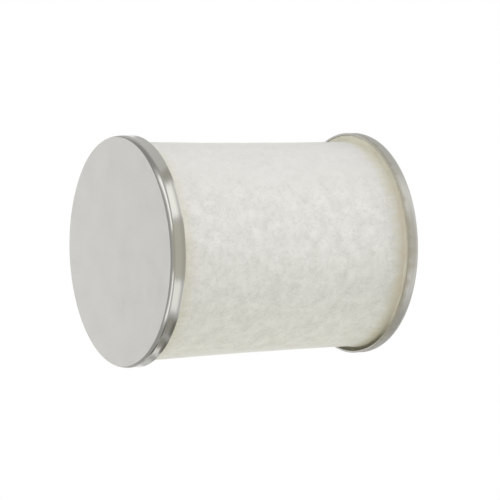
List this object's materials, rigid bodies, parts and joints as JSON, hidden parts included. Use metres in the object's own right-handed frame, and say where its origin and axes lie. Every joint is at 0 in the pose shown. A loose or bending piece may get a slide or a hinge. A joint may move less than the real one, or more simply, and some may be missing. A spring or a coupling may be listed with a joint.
{
  "type": "air line filter element",
  "caption": "Cylindrical coalescing element for a compressed air filter: felt over a fibre pack on a slotted steel tube, bonded with resin between a closed and an open pressed steel cap.",
  "frame": {"origin": "centre of the closed cap's flat outer face", "axes": "+Z along the element's axis from its closed end up to its open end, as it hangs in the filter bowl; +X and +Y lie in the closed face"},
  "size_m": [0.06, 0.06, 0.075],
  "materials": {
    "cap_steel": "satin, as rolled",
    "tube_steel": "satin, as rolled",
    "cast_resin": "cast, slightly waxy",
    "seal_rubber": "matt",
    "fleece": "matt fibres",
    "microfibre": "matt fibres",
    "felt": "matt needled felt"
  },
  "bodies": {
    "root": {"closed_end_cap": "cap_steel", "open_end_cap": "cap_steel", "closed_end_potting": "cast_resin", "open_end_potting": "cast_resin", "sealing_gasket": "seal_rubber", "inner_support_tube": "tube_steel", "outer_support_tube": "tube_steel", "prefilter_fleece": "fleece", "coalescing_media": "microfibre", "drain_sleeve": "felt"}
  },
  "joints": []
}
